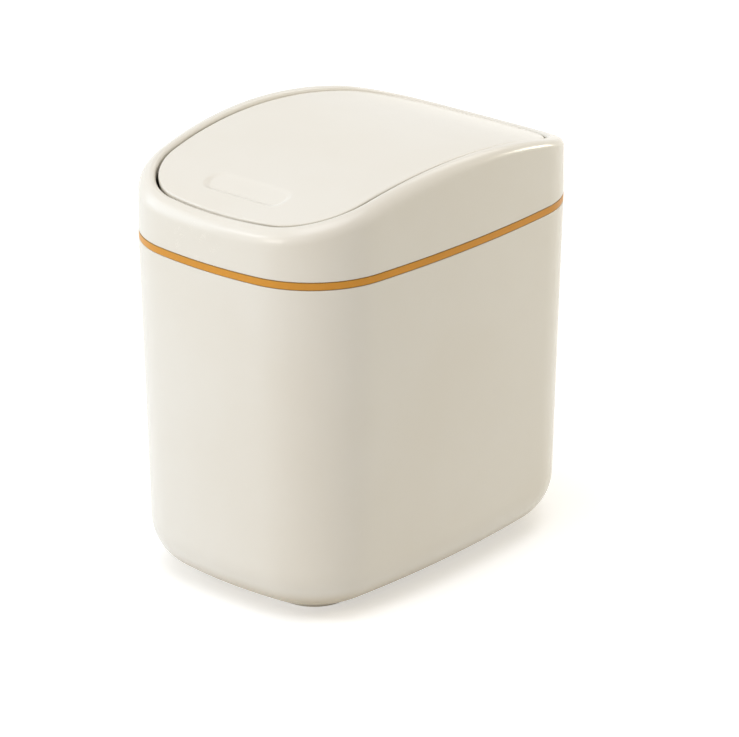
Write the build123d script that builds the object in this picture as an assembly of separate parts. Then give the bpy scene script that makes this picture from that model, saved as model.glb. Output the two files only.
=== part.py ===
"""Countertop trash can with a rocking lid: a drafted tub, a trim hoop, a lift-off lid frame and a
flap that swings both ways on two pins.

Units are millimetres. +Z is up and the origin is the centre of the footprint, at the level of the
surface that the can stands on. X runs across the can, Y runs along it, and the press pad of the
flap is at the -Y end, which is the front.

Every outline in plan is the same bowed rectangle, with corners rounded by one radius. Moving in
from the outside by an inset only makes that radius smaller, so walls, gaps and skirts stay even.
"""

import os
from math import asin, atan2, cos, degrees, radians, sin, sqrt, tan

from OCP.BRepFilletAPI import BRepFilletAPI_MakeFillet
from build123d import *

# ---------------------------------------------------------------- driving dimensions
WIDTH = 112.0  # across X at the trim hoop, the widest level of the can
DEPTH = 160.0  # along Y at the trim hoop
HEIGHT = 165.0  # floor to the crest of the lid frame

CORNER_RADIUS = 34.5  # plan corners at the hoop
SIDE_BOW = 2.2  # how far a long side swells past straight
END_BOW = 1.3  # how far a short end swells past straight

HOOP_Z = 131.5  # rim of the tub, where the hoop sits
HOOP_HEIGHT = 3.0
WALL = 2.0  # walls of the tub and of the lid frame
SEAM_BREAK = 0.35  # bevel on each side of the two seams beside the hoop

BODY_DRAFT = 1.2  # degrees, the tub narrows towards its foot
BOTTOM_RADIUS = 19.5  # rolled bottom edge of the tub
FLOOR = 2.2
FOOT_HEIGHT = 2.5
FOOT_INSET = 17.8  # from the tub's bottom outline in to the foot ring
FOOT_THICKNESS = 2.2

LID_DRAFT = 0.8  # degrees, the lid frame narrows towards its crest
ARCH_RADIUS = 216.0  # the lid's arch along Y, the same on frame and flap
FRONT_SHOULDER = 6.0  # radius of the roll between the lid's wall and its top, round the front
REAR_SHOULDER = 2.8  # the same round the rear: the roll narrows along the two sides
INNER_BEVEL = 1.2  # bevel under the shoulder, which keeps the wall from getting thick there
OPENING_INSET = 6.6
MOUTH_BEVEL = 1.1  # round the opening's upper edge
MOUTH_OVERRUN = 0.5  # how far the cut of this bevel runs on past the lid's surface
LIP_THICKNESS = 1.6
LIP_DEPTH = 5.0

PLUG_DEPTH = 10.5  # how far the lid frame reaches down inside the tub, below the hoop's top
PLUG_INSET = 2.5
PLUG_THICKNESS = 1.5
PLUG_LEAD_IN = 0.5  # bevels that guide the plug into the tub
CLEAR_ABOVE = 8.0  # upright blocks end this far above the crest before the arch cuts them

FLAP_DROP = 0.9  # the flap lies this far below the frame's top
FLAP_GAP = 1.0  # all round the flap
FLAP_THICKNESS = 1.8
FLAP_EDGE = 0.6
SKIRT_DEPTH = 5.0  # below the flap's top
SKIRT_SETBACK = 0.5
SKIRT_THICKNESS = 2.0

PIVOT_Z = 159.6
PIN_RADIUS = 2.0
PIN_CLEARANCE = 0.05
PIN_HEAD_RADIUS = 2.6
PIN_HEAD_THICKNESS = 1.3
PIN_REACH = 1.2  # past the outside of the bearing tab
PIN_CHAMFER = 0.4
EAR_RADIUS = 3.9
EAR_PROUD = 0.3  # past the inside of the skirt, so that the pin's head seats on a flat
EAR_ROOT_WIDTH = 18.0

TAB_WIDTH = 17.0
TAB_BOTTOM_Z = 142.5
TAB_BOSS_RADIUS = 4.2
TAB_BOSS_HEIGHT = 0.9
TAB_RIB_THICKNESS = 1.2
STOP_PEG_RADIUS = 3.0
STOP_PEG_DROP = 12.0  # below the pivot
STOP_PEG_REACH = 3.0

PAD_LENGTH = 40.0  # press pad in the flap, along X
PAD_WIDTH = 12.0
PAD_CENTRE_Y = -57.0
PAD_DEPTH = 0.65  # at its centre
PAD_TILT = 2.5  # degrees, so that the pad is deepest along its front edge
PAD_EDGE = 0.5
PAD_BACKING = 1.5  # wall kept under and round the pad

RIB_THICKNESS = 1.3
RIB_DEPTH = 2.6
CROSS_RIB_Y = 40.0
LONG_RIB_X = 22.0
RIB_END_INSET = 12.5

# ---------------------------------------------------------------- levels and lines worked out
LID_Z = HOOP_Z + HOOP_HEIGHT
FLAP_CREST = HEIGHT - FLAP_DROP
FLAP_INSET = OPENING_INSET + FLAP_GAP
SKIRT_INSET = FLAP_INSET + SKIRT_SETBACK
LIP_INSET = OPENING_INSET - LIP_THICKNESS

CORNER_X = WIDTH / 2 - SIDE_BOW - CORNER_RADIUS
CORNER_Y = DEPTH / 2 - END_BOW - CORNER_RADIUS
SIDE_RADIUS = (CORNER_Y**2 + SIDE_BOW**2) / (2 * SIDE_BOW)
END_RADIUS = (CORNER_X**2 + END_BOW**2) / (2 * END_BOW)
SIDE_ANGLE = asin(CORNER_Y / SIDE_RADIUS)
END_ANGLE = asin(CORNER_X / END_RADIUS)


def body_inset(z):
    """How far the tub's wall has drawn in at height z, below the hoop."""
    return (HOOP_Z - z) * tan(radians(BODY_DRAFT))


def outline(inset):
    """The plan of the can, moved in by inset: four bowed sides joined by four corner arcs."""
    radius = CORNER_RADIUS - inset

    def on_corner(angle):
        return (CORNER_X + radius * cos(angle), CORNER_Y + radius * sin(angle))

    side_x, side_y = on_corner(SIDE_ANGLE)
    end_x, end_y = on_corner(radians(90) - END_ANGLE)
    mid_x, mid_y = on_corner((SIDE_ANGLE + radians(90) - END_ANGLE) / 2)
    side_crown = WIDTH / 2 - inset
    end_crown = DEPTH / 2 - inset

    arcs = []
    for sign in (1, -1):
        arcs.append(ThreePointArc((sign * side_x, -side_y), (sign * side_crown, 0), (sign * side_x, side_y)))
        arcs.append(ThreePointArc((-end_x, sign * end_y), (0, sign * end_crown), (end_x, sign * end_y)))
        for other in (1, -1):
            start = (sign * side_x, other * side_y)
            middle = (sign * mid_x, other * mid_y)
            finish = (sign * end_x, other * end_y)
            arcs.append(ThreePointArc(start, middle, finish))
    return make_face(arcs)


def prism(inset, low, high, taper=0.0):
    """An upright block on the outline at height low, tapering inwards as it rises."""
    return extrude(Pos(0, 0, low) * outline(inset), amount=high - low, taper=taper)


def ring(outer_inset, inner_inset, low, high):
    """An upright band of even thickness that follows the outline."""
    return prism(outer_inset, low, high) - prism(inner_inset, low, high)


def under_arch(crest):
    """All of the space below an arch that runs along Y, with its crest at the given height."""
    reach = DEPTH
    arch = Plane.YZ * Pos(0, crest - ARCH_RADIUS) * Circle(ARCH_RADIUS)
    block = extrude(arch, amount=WIDTH, both=True)
    keep = Pos(0, 0, crest - ARCH_RADIUS / 2) * Box(2 * WIDTH, 2 * reach, ARCH_RADIUS)
    return block & keep


def arch_layer(crest, thickness):
    """A curved slab between two parallel arches."""
    return under_arch(crest) - under_arch(crest - thickness)


def across(profile, x_low, x_high):
    """A profile drawn in the YZ plane, carried along X from x_low to x_high."""
    return extrude(Pos(x_low, 0, 0) * (Plane.YZ * profile), amount=x_high - x_low)


def pin_cylinder(radius, x_low, x_high):
    """A round bar on the pivot axis of the +X side."""
    return across(Pos(0, PIVOT_Z) * Circle(radius), x_low, x_high)


def mirrored(shape):
    """The shape and its copy on the other side of the can."""
    return shape + mirror(shape, about=Plane.YZ)


# ---------------------------------------------------------------- tub
def tub_block(inset, floor_z, bottom_radius, top_z):
    """A drafted block from the rim down to floor_z, with its bottom edge rolled."""
    top = Pos(0, 0, top_z) * outline(inset + body_inset(top_z))
    block = extrude(top, amount=top_z - floor_z, dir=(0, 0, -1), taper=BODY_DRAFT)
    return fillet(block.edges().group_by(Axis.Z)[0], bottom_radius)


def make_bin_body():
    """The tub: an open shell with a rolled bottom edge, standing on a foot ring."""
    outside = tub_block(0, FOOT_HEIGHT, BOTTOM_RADIUS, HOOP_Z)
    rim = outside.edges().group_by(Axis.Z)[-1]
    outside = chamfer(rim, SEAM_BREAK)
    inside = tub_block(WALL, FOOT_HEIGHT + FLOOR, BOTTOM_RADIUS - WALL, HOOP_Z + WALL)
    foot_outer = body_inset(FOOT_HEIGHT) + FOOT_INSET
    foot = ring(foot_outer, foot_outer + FOOT_THICKNESS, 0, FOOT_HEIGHT + FLOOR / 2)
    foot = chamfer(foot.edges().group_by(Axis.Z)[0], FOOT_THICKNESS / 4)
    return outside + foot - inside


# ---------------------------------------------------------------- trim hoop
def make_trim_band():
    """The coloured hoop between tub and lid, with its two outer edges eased into seams."""
    hoop = prism(0, HOOP_Z, LID_Z)
    hoop = chamfer(hoop.edges().group_by(Axis.Z)[0] + hoop.edges().group_by(Axis.Z)[-1], SEAM_BREAK)
    return hoop - prism(PLUG_INSET - 0.2, HOOP_Z, LID_Z)


# ---------------------------------------------------------------- lid frame
def lid_block(inset, crest):
    """The lid's form before its shoulder is rolled: a drafted wall closed by the arch."""
    return prism(inset, LID_Z, crest + CLEAR_ABOVE, taper=LID_DRAFT) & under_arch(crest)


def roll_shoulder(block):
    """Rolls the block's upper edge, with one radius round the front and another round the rear.

    Between them the radius changes along the sides. One half is rolled and mirrored, because the
    change of radius along a closed chain of edges would not come out the same on both sides.
    """
    half = block & Pos(WIDTH, 0, 0) * Box(2 * WIDTH, 2 * DEPTH, 4 * HEIGHT)
    rim = half.faces().sort_by(Axis.Z)[-1].edges().filter_by(lambda edge: edge.center().X > 1)
    maker = BRepFilletAPI_MakeFillet(half.wrapped)
    maker.Add(rim[0].wrapped)
    for vertex in rim.vertices():
        maker.SetRadius(FRONT_SHOULDER if vertex.Y < 0 else REAR_SHOULDER, 1, vertex.wrapped)
    return mirrored(Solid(maker.Shape())).clean()


def mouth_block():
    """What the opening takes away: an upright block that flares in a bevel from just under the arch."""
    flare_inset = OPENING_INSET - MOUTH_BEVEL - MOUTH_OVERRUN
    flare = prism(flare_inset, LID_Z, HEIGHT + CLEAR_ABOVE) - under_arch(HEIGHT - MOUTH_BEVEL)
    flare = chamfer(flare.faces().sort_by(Axis.Z)[0].edges(), OPENING_INSET - flare_inset)
    return flare + prism(OPENING_INSET, LID_Z - 1, HEIGHT)


def tab_profile():
    """The bearing tab seen from the side: straight flanks and a round lower end."""
    end_radius = TAB_WIDTH / 2
    top_z = HEIGHT - LIP_DEPTH / 2
    end_z = TAB_BOTTOM_Z + end_radius
    flanks = Pos(0, (top_z + end_z) / 2) * Rectangle(TAB_WIDTH, top_z - end_z)
    return flanks + Pos(0, end_z) * Circle(end_radius)


def make_bearing():
    """What carries the flap on the +X side: a tab with a boss, a stop peg and two ribs."""
    inner_x = WIDTH / 2 - OPENING_INSET
    outer_x = WIDTH / 2 - LIP_INSET
    tab = across(tab_profile(), inner_x - 1, outer_x + 1)
    tab &= ring(LIP_INSET, OPENING_INSET, TAB_BOTTOM_Z, HEIGHT)
    tab += pin_cylinder(TAB_BOSS_RADIUS, outer_x - LIP_THICKNESS / 2, outer_x + TAB_BOSS_HEIGHT)
    stop = Pos(0, PIVOT_Z - STOP_PEG_DROP) * Circle(STOP_PEG_RADIUS)
    tab += across(stop, inner_x - STOP_PEG_REACH, outer_x - LIP_THICKNESS / 2)
    wall_x = WIDTH / 2 - WALL / 2 - (PIVOT_Z - LID_Z) * tan(radians(LID_DRAFT))
    rib = Rectangle(TAB_RIB_THICKNESS, HEIGHT - LIP_DEPTH / 2 - PIVOT_Z + STOP_PEG_DROP)
    for side in (1, -1):
        place = (side * (TAB_WIDTH - TAB_RIB_THICKNESS) / 2, PIVOT_Z - STOP_PEG_DROP / 2)
        tab += across(Pos(*place) * rib, outer_x - LIP_THICKNESS / 2, wall_x)
    return tab


def make_lid_frame():
    """The lift-off frame: rolled outer wall, lip round the opening, plug and two bearings."""
    form = roll_shoulder(lid_block(0, HEIGHT)) - mouth_block()
    base = form.edges().filter_by(lambda edge: abs(edge.center().Z - LID_Z) < 0.01)
    form = chamfer(base.filter_by(lambda edge: edge.distance_to(Vertex(0, 0, LID_Z)) > 50), SEAM_BREAK)
    hollow = lid_block(WALL, HEIGHT - WALL)
    hollow = chamfer(hollow.faces().sort_by(Axis.Z)[-1].edges(), INNER_BEVEL)
    frame = form - hollow

    lip = ring(LIP_INSET, OPENING_INSET, LID_Z, HEIGHT) & arch_layer(HEIGHT - WALL / 2, LIP_DEPTH - WALL / 2)
    joggle = ring(WALL / 2, PLUG_INSET + PLUG_THICKNESS, LID_Z, LID_Z + HOOP_HEIGHT)
    plug = ring(PLUG_INSET, PLUG_INSET + PLUG_THICKNESS, LID_Z - PLUG_DEPTH, LID_Z + HOOP_HEIGHT)
    plug = chamfer(plug.edges().group_by(Axis.Z)[0], PLUG_LEAD_IN)
    frame = frame + lip + joggle + plug + mirrored(make_bearing())
    bore = pin_cylinder(PIN_RADIUS + PIN_CLEARANCE, 0, WIDTH / 2 - WALL * 1.5)
    return frame - mirrored(bore)


# ---------------------------------------------------------------- flap
def pad_plane(depth):
    """The plane of the press pad's floor, tilted a little more than the arch is there."""
    slope = degrees(asin(-PAD_CENTRE_Y / ARCH_RADIUS))
    surface_z = FLAP_CREST - ARCH_RADIUS + sqrt(ARCH_RADIUS**2 - PAD_CENTRE_Y**2)
    return Plane(origin=(0, PAD_CENTRE_Y, surface_z)) * Rot(slope + PAD_TILT, 0, 0) * Pos(0, 0, -depth)


def make_flap_plate():
    """The flap's arched plate, with a soft edge and the press pad sunk into it."""
    plate = prism(FLAP_INSET, LID_Z, HEIGHT) & arch_layer(FLAP_CREST, FLAP_THICKNESS)
    top = plate.faces().sort_by(Axis.Z)[-1]
    plate = chamfer(top.edges(), FLAP_EDGE)
    backing = SlotOverall(PAD_LENGTH + 2 * PAD_BACKING, PAD_WIDTH + 2 * PAD_BACKING)
    plate += extrude(pad_plane(PAD_DEPTH + PAD_BACKING) * backing, amount=PAD_BACKING)
    pad = extrude(pad_plane(PAD_DEPTH) * SlotOverall(PAD_LENGTH, PAD_WIDTH), amount=4)
    pad = chamfer(pad.faces().sort_by(Axis.Z)[0].edges(), PAD_EDGE)
    return plate - pad


def make_ear():
    """The ear on the +X side that holds a pivot pin: a boss with flanks up to the skirt."""
    outer_x = WIDTH / 2 - SKIRT_INSET
    inner_x = outer_x - SKIRT_THICKNESS - EAR_PROUD
    root_z = FLAP_CREST - SKIRT_DEPTH
    slope = atan2(PIVOT_Z - root_z, EAR_ROOT_WIDTH / 2)
    reach = sqrt((EAR_ROOT_WIDTH / 2) ** 2 + (PIVOT_Z - root_z) ** 2)
    touch = asin(EAR_RADIUS / reach) - slope
    foot_y = EAR_ROOT_WIDTH / 2 - sqrt(reach**2 - EAR_RADIUS**2) * cos(touch)
    foot_z = root_z - sqrt(reach**2 - EAR_RADIUS**2) * sin(touch)
    top_z = FLAP_CREST - FLAP_THICKNESS / 2
    half = EAR_ROOT_WIDTH / 2
    flanks = Polyline(
        (half, top_z), (half, root_z), (foot_y, foot_z), (-foot_y, foot_z), (-half, root_z), (-half, top_z), close=True
    )
    profile = make_face(flanks) + Pos(0, PIVOT_Z) * Circle(EAR_RADIUS)
    return across(profile, inner_x, outer_x) + pin_cylinder(EAR_RADIUS, inner_x, WIDTH / 2 - FLAP_INSET)


def make_swing_flap():
    """The rocking flap: plate, skirt, stiffening ribs and the two ears."""
    plate = make_flap_plate()
    skirt = ring(SKIRT_INSET, SKIRT_INSET + SKIRT_THICKNESS, LID_Z, HEIGHT)
    skirt &= arch_layer(FLAP_CREST - FLAP_THICKNESS / 2, SKIRT_DEPTH - FLAP_THICKNESS / 2)

    rib_layer = arch_layer(FLAP_CREST - FLAP_THICKNESS / 2, RIB_DEPTH + FLAP_THICKNESS / 2)
    rib_layer &= prism(RIB_END_INSET, LID_Z, HEIGHT)
    ribs = Box(WIDTH, RIB_THICKNESS, 2 * HEIGHT)
    for side in (1, -1):
        ribs += Pos(0, side * CROSS_RIB_Y, 0) * Box(WIDTH, RIB_THICKNESS, 2 * HEIGHT)
        ribs += Pos(side * LONG_RIB_X, 0, 0) * Box(RIB_THICKNESS, DEPTH, 2 * HEIGHT)
    ribs &= rib_layer

    flap = plate + skirt + mirrored(make_ear()) + ribs
    return flap - mirrored(pin_cylinder(PIN_RADIUS, 0, WIDTH / 2))


# ---------------------------------------------------------------- pivot pins
def make_pivot_pin():
    """The headed pin on the +X side: pressed into the ear, turning in the bearing tab."""
    ear_face = WIDTH / 2 - SKIRT_INSET - SKIRT_THICKNESS - EAR_PROUD
    tip = WIDTH / 2 - LIP_INSET + TAB_BOSS_HEIGHT + PIN_REACH
    head = pin_cylinder(PIN_HEAD_RADIUS, ear_face - PIN_HEAD_THICKNESS, ear_face)
    head = chamfer(head.edges().group_by(Axis.X)[0], PIN_CHAMFER)
    shank = pin_cylinder(PIN_RADIUS, ear_face, tip)
    shank = chamfer(shank.edges().group_by(Axis.X)[-1], PIN_CHAMFER)
    return head + shank


def main():
    os.makedirs("parts", exist_ok=True)
    right_pin = make_pivot_pin()
    nodes = {
        "bin_body": make_bin_body(),
        "trim_band": make_trim_band(),
        "lid_frame": make_lid_frame(),
        "swing_flap": make_swing_flap(),
        "pivot_pin_right": right_pin,
        "pivot_pin_left": mirror(right_pin, about=Plane.YZ),
    }
    for name, solid in nodes.items():
        export_step(solid, f"parts/{name}.step")
        print(f"{name}: {solid.volume / 1000:.2f} cm3, centre {solid.center(CenterOf.MASS)}")


main()
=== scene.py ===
# %% [markdown]
# A countertop trash can with a rocking lid.
#
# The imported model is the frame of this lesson: it holds the real sizes, the joints and the mass.
# Everything below dresses it. Each moulding is made again as a smooth surface, because a glossy
# moulded shell is judged by its reflections, and a reflection shows every flat facet of a mesh.

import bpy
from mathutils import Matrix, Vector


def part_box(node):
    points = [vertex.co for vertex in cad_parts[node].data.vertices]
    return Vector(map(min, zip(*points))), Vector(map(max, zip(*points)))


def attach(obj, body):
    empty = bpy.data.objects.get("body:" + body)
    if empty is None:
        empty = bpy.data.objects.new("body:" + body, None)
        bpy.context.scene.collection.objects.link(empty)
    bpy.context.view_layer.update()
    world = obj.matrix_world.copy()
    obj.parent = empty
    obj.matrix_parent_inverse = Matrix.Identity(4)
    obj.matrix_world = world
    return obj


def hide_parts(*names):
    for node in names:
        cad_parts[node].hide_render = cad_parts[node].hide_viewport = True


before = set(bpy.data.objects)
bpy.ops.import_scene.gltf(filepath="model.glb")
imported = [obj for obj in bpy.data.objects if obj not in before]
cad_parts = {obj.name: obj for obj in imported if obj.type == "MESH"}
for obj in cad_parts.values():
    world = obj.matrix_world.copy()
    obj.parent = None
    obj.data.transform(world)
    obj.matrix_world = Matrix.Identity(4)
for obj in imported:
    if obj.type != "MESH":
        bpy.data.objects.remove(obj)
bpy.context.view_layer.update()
print("nodes:", ", ".join(sorted(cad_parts)))

# %% [markdown]
# Levels that the mouldings share come from the frame's own nodes. Radii, drafts and walls can't be
# read from a box, so they are named where they are first needed, in metres.

# %% Levels
import math

import bpy
import numpy as np
from mathutils import Vector

MM = 0.001
CUBIC_CM = (10 * MM) ** 3
TINY = 1e-6  # the least that anything is divided by
QUARTER_TURN = math.pi / 2
HALF_TURN = math.pi
THREE_QUARTERS = 3 * QUARTER_TURN
FULL_TURN = 2 * HALF_TURN

hoop_low, hoop_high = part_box("trim_band")
HALF_WIDTH = hoop_high.x
HALF_DEPTH = hoop_high.y
HOOP_Z = hoop_low.z
LID_Z = hoop_high.z
PLUG_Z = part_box("lid_frame")[0].z
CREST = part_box("lid_frame")[1].z
FLAP_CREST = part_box("swing_flap")[1].z
pin_low, pin_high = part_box("pivot_pin_right")
PIVOT_Z = (pin_low.z + pin_high.z) / 2
print(f"hoop at {HOOP_Z / MM:.1f} mm, pivot at {PIVOT_Z / MM:.1f} mm, crest at {CREST / MM:.1f} mm")

# %% [markdown]
# Seen from above, every wall of the can follows one outline: a rectangle whose sides swell a little
# and whose corners are round. It could be drawn as a curve and offset again and again, but offsets
# of offsets drift apart. Here it is a formula of the direction in which the wall faces. Moving a
# wall in by an inset only shortens the corner radius, so walls, gaps and skirts stay parallel.

# %% The outline
CORNER_RADIUS = 34.5 * MM
SIDE_BOW = 2.2 * MM
END_BOW = 1.3 * MM
CORNER_X = HALF_WIDTH - SIDE_BOW - CORNER_RADIUS
CORNER_Y = HALF_DEPTH - END_BOW - CORNER_RADIUS
SIDE_RADIUS = (CORNER_Y**2 + SIDE_BOW**2) / (2 * SIDE_BOW)
END_RADIUS = (CORNER_X**2 + END_BOW**2) / (2 * END_BOW)
SIDE_ANGLE = math.asin(CORNER_Y / SIDE_RADIUS)
END_ANGLE = math.asin(CORNER_X / END_RADIUS)


def outline(facing, inset):
    """The outline's x and y where the wall faces the angle facing, moved in by inset.

    On a corner, the point is the corner's centre plus the corner radius, less the inset, along the
    facing. On a swollen side or end it is the same, with that side's own centre and larger radius.
    """
    radius = CORNER_RADIUS - inset
    across, along = np.abs(np.cos(facing)), np.abs(np.sin(facing))
    slant = np.arctan2(along, across)
    places = [slant <= SIDE_ANGLE, slant >= QUARTER_TURN - END_ANGLE]
    corner_x = CORNER_X + radius * across
    corner_y = CORNER_Y + radius * along
    side_x = CORNER_X + SIDE_BOW - SIDE_RADIUS + (SIDE_RADIUS + radius) * across
    end_y = CORNER_Y + END_BOW - END_RADIUS + (END_RADIUS + radius) * along
    x = np.select(places, [side_x, (END_RADIUS + radius) * across], corner_x)
    y = np.select(places, [(SIDE_RADIUS + radius) * along, end_y], corner_y)
    return x * np.sign(np.cos(facing)), y * np.sign(np.sin(facing))


def facings(side, corner, back, front):
    """Angles all round the outline, with a number of steps for each stretch of it."""
    stretches = [
        (-SIDE_ANGLE, SIDE_ANGLE, side),
        (SIDE_ANGLE, QUARTER_TURN - END_ANGLE, corner),
        (QUARTER_TURN - END_ANGLE, QUARTER_TURN + END_ANGLE, back),
        (QUARTER_TURN + END_ANGLE, HALF_TURN - SIDE_ANGLE, corner),
        (HALF_TURN - SIDE_ANGLE, HALF_TURN + SIDE_ANGLE, side),
        (HALF_TURN + SIDE_ANGLE, THREE_QUARTERS - END_ANGLE, corner),
        (THREE_QUARTERS - END_ANGLE, THREE_QUARTERS + END_ANGLE, front),
        (THREE_QUARTERS + END_ANGLE, FULL_TURN - SIDE_ANGLE, corner),
    ]
    angles = [np.linspace(low, high, steps, endpoint=False) for low, high, steps in stretches]
    return np.concatenate(angles)


WALL_FACINGS = facings(side=40, corner=40, back=24, front=24)
print(f"one wall has {len(WALL_FACINGS)} facings")

# %% [markdown]
# A wall's section is drawn as pairs of inset and height and carried round the outline. Arcs make
# the rolled edges, and runs join them. Smooth shading averages the faces that meet at a point, so a
# run keeps a point close to each of its ends: without those, the shading of a small edge would
# smear over the whole wall. A bevel modifier could round the edges instead, but it would not know
# which of them are rolled by 19.5 mm and which are only broken.

# %% Sections
HOLD = 0.5 * MM
MOST_HELD = 0.25  # of the length of a short run
CORE_INSET = 31.0 * MM  # here a corner is still a little round, so no facings fall on one point
SEAM_BREAK = 0.35 * MM
SEAM_STEPS = 4
FINE_ROUND = 0.3 * MM
FINE_STEPS = 3


def arc(inset, height, radius, start, end, steps):
    """A round stretch of a section, as rows of (inset, height).

    Each point is the centre plus the radius at an angle that goes from start to end. At angle 0 it
    points out of the can, and at a quarter turn up. Any value may be an array over the facings.
    """
    part = np.linspace(0, 1, steps + 1)[:, None]
    angle = start * (1 - part) + end * part
    rows = inset - radius * np.cos(angle), height + radius * np.sin(angle)
    return np.stack(np.broadcast_arrays(*rows), axis=-1)


def seam_arc(inset, height, start, end):
    """The broken edge beside a seam."""
    return arc(inset, height, SEAM_BREAK, start, end, SEAM_STEPS)


def fine_arc(inset, height, start, end):
    """The finest round, on edges that are mostly out of sight."""
    return arc(inset, height, FINE_ROUND, start, end, FINE_STEPS)


def corner(inset, height):
    """A sharp point of a section, as a row of (inset, height)."""
    return np.stack(np.broadcast_arrays(np.atleast_1d(inset), np.atleast_1d(height)), axis=-1)[None]


def run(start, end, steps):
    """A straight stretch between two rows, from a point near one end to a point near the other."""
    length = np.linalg.norm(end - start, axis=-1).mean()
    near = min(HOLD / length, MOST_HELD)
    part = np.linspace(near, 1 - near, steps)[:, None, None]
    return start * (1 - part) + end * part


def section(*stretches, steps=2):
    """Joins stretches with runs between them, into rows of (inset, height)."""
    joined = [stretches[0]]
    for stretch in stretches[1:]:
        joined += [run(joined[-1][-1], stretch[0], steps), stretch]
    around = max(rows.shape[1] for rows in joined)
    return np.concatenate([np.broadcast_to(rows, (len(rows), around, 2)) for rows in joined])


def carried(rows, facing):
    """Carries a section round the outline, into rows of points in space."""
    x, y = outline(facing, rows[..., 0])
    return np.stack(np.broadcast_arrays(x, y, rows[..., 1]), axis=-1)


def core(facing, shares, height):
    """Rows that fill the middle: the outline at the core's inset, shrunk by each share."""
    x, y = outline(facing, CORE_INSET)
    x, y = shares[:, None] * x, shares[:, None] * y
    return np.stack([x, y, height(x, y)], axis=-1)


# %% [markdown]
# One function turns rows of points into faces. Each row is closed round. The first and last rows
# are closed with a pole each, or joined to each other as on a ring. The volume that the faces
# enclose tells which way they point: where it comes out negative, all of them are turned round.


# %% Rows of points to a moulding
def placed(name, data):
    """Makes an object of a mesh, a lamp or a camera, and links it to the scene."""
    made = bpy.data.objects.new(name, data)
    bpy.context.scene.collection.objects.link(made)
    return made


def facets(rows, joined):
    """Points, four-sided faces between the rows, and three-sided faces round the poles."""
    count, around = rows.shape[:2]
    points = rows.reshape(-1, 3)
    column = np.arange(around)
    following = (column + 1) % around
    start = np.arange(count if joined else count - 1)[:, None] * around
    ahead = (start + around) % (count * around)
    round_a_face = [start + column, start + following, ahead + following, ahead + column]
    quads = np.stack(round_a_face, axis=-1).reshape(-1, 4)
    if joined:
        return points, quads, np.empty((0, 3), int)
    points = np.concatenate([points, rows[:1].mean(axis=1), rows[-1:].mean(axis=1)])
    low_pole, high_pole = np.full(around, count * around), np.full(around, count * around + 1)
    top = (count - 1) * around
    low_fan = np.stack([following, column, low_pole], axis=-1)
    high_fan = np.stack([top + column, top + following, high_pole], axis=-1)
    return points, quads, np.concatenate([low_fan, high_fan])


def enclosed(points, quads, fans):
    """The signed volume: a sixth of the corner points' triple product, summed over triangles."""
    triangles = np.concatenate([quads[:, [0, 1, 2]], quads[:, [0, 2, 3]], fans])
    first, second, third = (points[triangles[:, place]] for place in range(3))
    return np.einsum("ij,ij->", first, np.cross(second, third)) / 6


def moulding(name, surfaces, body):
    """Makes one smooth mesh of closed surfaces, each given as rows and whether they are joined."""
    points, faces, volume = [], [], 0.0
    for rows, joined in surfaces:
        places, quads, fans = facets(rows, joined)
        signed = enclosed(places, quads, fans)
        if signed < 0:
            quads, fans = quads[:, ::-1], fans[:, ::-1]
        faces += (quads + len(points)).tolist() + (fans + len(points)).tolist()
        points += places.tolist()
        volume += abs(signed)
    mesh = bpy.data.meshes.new(name)
    mesh.from_pydata(points, [], faces)
    mesh.polygons.foreach_set("use_smooth", np.ones(len(faces), bool))
    made = placed(name, mesh)
    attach(made, body)
    print(f"{name}: {len(faces)} faces, {volume / CUBIC_CM:.1f} cm3")
    return made


# %% [markdown]
# The tub is one moulding with walls two millimetres thick. Its section starts at the middle of the
# underside, goes round the foot ring, over the rolled bottom edge and up the wall, over the rim,
# and down to the middle of the floor. A single sheet thickened by a modifier would be quicker, but
# the foot ring and the small rounds on both edges of the rim would be lost.

# %% The tub
BODY_DRAFT = math.radians(1.2)
WALL = 2.0 * MM
BOTTOM_RADIUS = 19.5 * MM
BOTTOM_STEPS = 24
FLOOR_THICKNESS = 2.2 * MM
FOOT_HEIGHT = 2.5 * MM
FOOT_THICKNESS = 2.2 * MM
FOOT_ROUND = 0.55 * MM
FOOT_STEPS = 4
FOOT_INSET = 17.8 * MM
CORE_SHARES = np.linspace(0.04, 0.98, 8)


def tub_inset(height):
    """How far the drafted wall has drawn in at a height below the hoop."""
    return (HOOP_Z - height) * math.tan(BODY_DRAFT)


def bottom_roll(wall_inset, level, radius):
    """The rolled edge between the drafted wall and a flat at a level, from the wall down."""
    centre_z = level + radius
    centre = wall_inset + tub_inset(centre_z) + radius / math.cos(BODY_DRAFT)
    return arc(centre, centre_z, radius, -BODY_DRAFT, -QUARTER_TURN, BOTTOM_STEPS)


foot_outer = tub_inset(FOOT_HEIGHT) + FOOT_INSET
foot_inner = foot_outer + FOOT_THICKNESS
floor_level = FOOT_HEIGHT + FLOOR_THICKNESS
tub_section = section(
    corner(CORE_INSET, FOOT_HEIGHT),
    corner(foot_inner, FOOT_HEIGHT),
    arc(foot_inner - FOOT_ROUND, FOOT_ROUND, FOOT_ROUND, HALF_TURN, THREE_QUARTERS, FOOT_STEPS),
    arc(foot_outer + FOOT_ROUND, FOOT_ROUND, FOOT_ROUND, THREE_QUARTERS, FULL_TURN, FOOT_STEPS),
    corner(foot_outer, FOOT_HEIGHT),
    bottom_roll(0, FOOT_HEIGHT, BOTTOM_RADIUS)[-2::-1],
    seam_arc(SEAM_BREAK, HOOP_Z - SEAM_BREAK, -BODY_DRAFT, QUARTER_TURN),
    seam_arc(WALL - SEAM_BREAK, HOOP_Z - SEAM_BREAK, QUARTER_TURN, HALF_TURN),
    bottom_roll(WALL, floor_level, BOTTOM_RADIUS - WALL),
    corner(CORE_INSET, floor_level),
    steps=4,
)
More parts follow.
